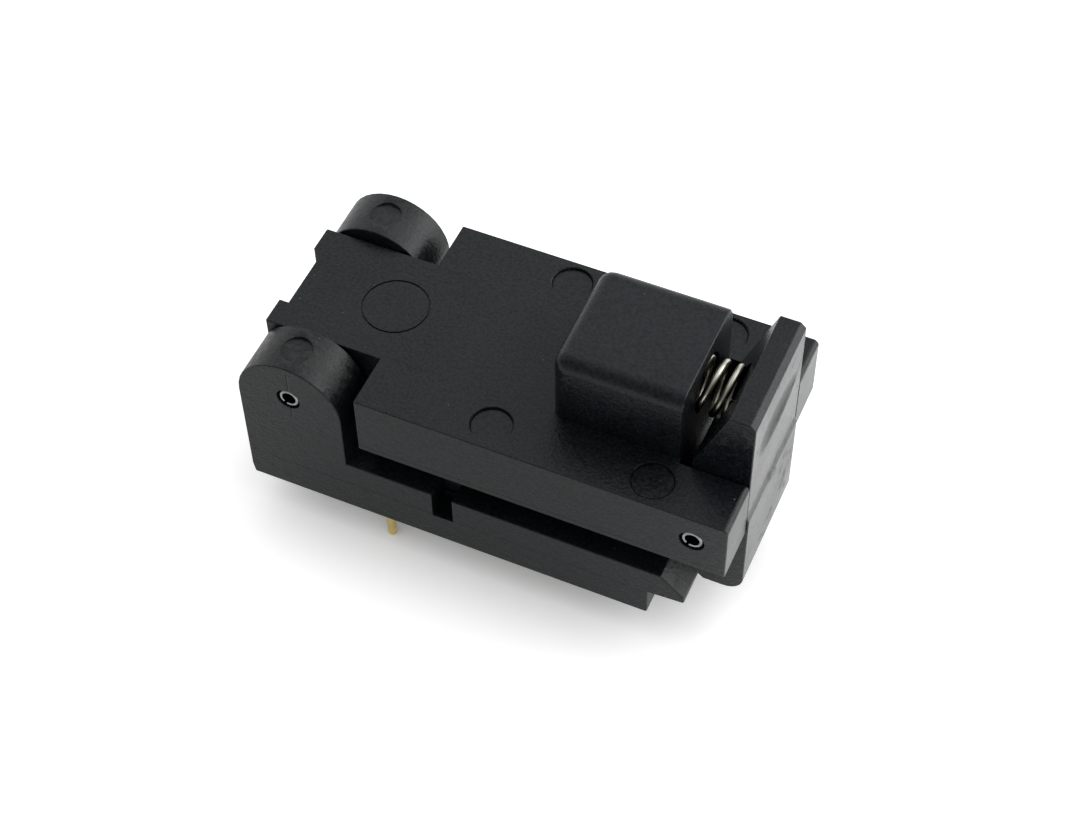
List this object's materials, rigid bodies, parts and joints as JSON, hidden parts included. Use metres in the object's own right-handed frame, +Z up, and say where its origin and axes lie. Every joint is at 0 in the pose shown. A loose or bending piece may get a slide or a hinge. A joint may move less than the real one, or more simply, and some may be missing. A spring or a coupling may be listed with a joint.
{
  "type": "ic test socket",
  "caption": "Black clamshell IC test socket: hinged lid with a floating pressure pad, a spring latch lever with a hook, and sprung contacts with solder tails.",
  "frame": {"origin": "middle of the contact field, on the flat bottom face that sits on the board", "axes": "+X from the hinge to the latch, -Y the side with the notch and the index pin, +Z up away from the board; lid shut and lever released"},
  "size_m": [0.0341, 0.0164, 0.0206],
  "materials": {
    "moulded_black": "fine matt moulded texture",
    "spring_steel": "bright drawn steel",
    "contact_gold": "gold plated",
    "screw_steel": "plain steel"
  },
  "bodies": {
    "base": {"base_housing": "moulded_black", "hinge_pin": "spring_steel", "hinge_spring": "spring_steel", "contact_carrier": "moulded_black", "device_nest": "moulded_black", "contact_01": "contact_gold", "contact_02": "contact_gold", "contact_03": "contact_gold", "contact_04": "contact_gold", "contact_05": "contact_gold", "contact_06": "contact_gold", "contact_07": "contact_gold", "contact_08": "contact_gold", "contact_09": "contact_gold", "contact_10": "contact_gold", "contact_11": "contact_gold", "contact_12": "contact_gold", "contact_13": "contact_gold", "contact_14": "contact_gold", "contact_15": "contact_gold", "contact_16": "contact_gold", "index_pin": "contact_gold"},
    "lid": {"lid": "moulded_black", "latch_pin": "spring_steel", "latch_spring": "spring_steel", "pad_retainer": "screw_steel", "retainer_screw_1": "screw_steel", "retainer_screw_2": "screw_steel", "retainer_screw_3": "screw_steel", "retainer_screw_4": "screw_steel", "pad_spring_1": "spring_steel", "pad_spring_2": "spring_steel"},
    "latch": {"latch_lever": "moulded_black"},
    "pad": {"pressure_pad": "moulded_black"}
  },
  "joints": [
    {"name": "lid_hinge", "type": "hinge", "parent": "base", "child": "lid", "pos_m": [-0.01528, 0, 0.00964], "axis": [0, -1, 0], "range_deg": [0, 100], "deforming": ["hinge_spring"]},
    {"name": "latch_pivot", "type": "hinge", "parent": "lid", "child": "latch", "pos_m": [0.01267, 0, 0.00964], "axis": [0, -1, 0], "range_deg": [0, 16], "stiffness_Nm_per_rad": 0.02, "springref_deg": -17.19, "deforming": ["latch_spring"]},
    {"name": "pad_float", "type": "slide", "parent": "lid", "child": "pad", "axis": [0, 0, 1], "range_m": [0, 0.0005], "stiffness_N_per_m": 400, "springref_m": -0.001, "deforming": ["pad_spring_1", "pad_spring_2"]}
  ]
}
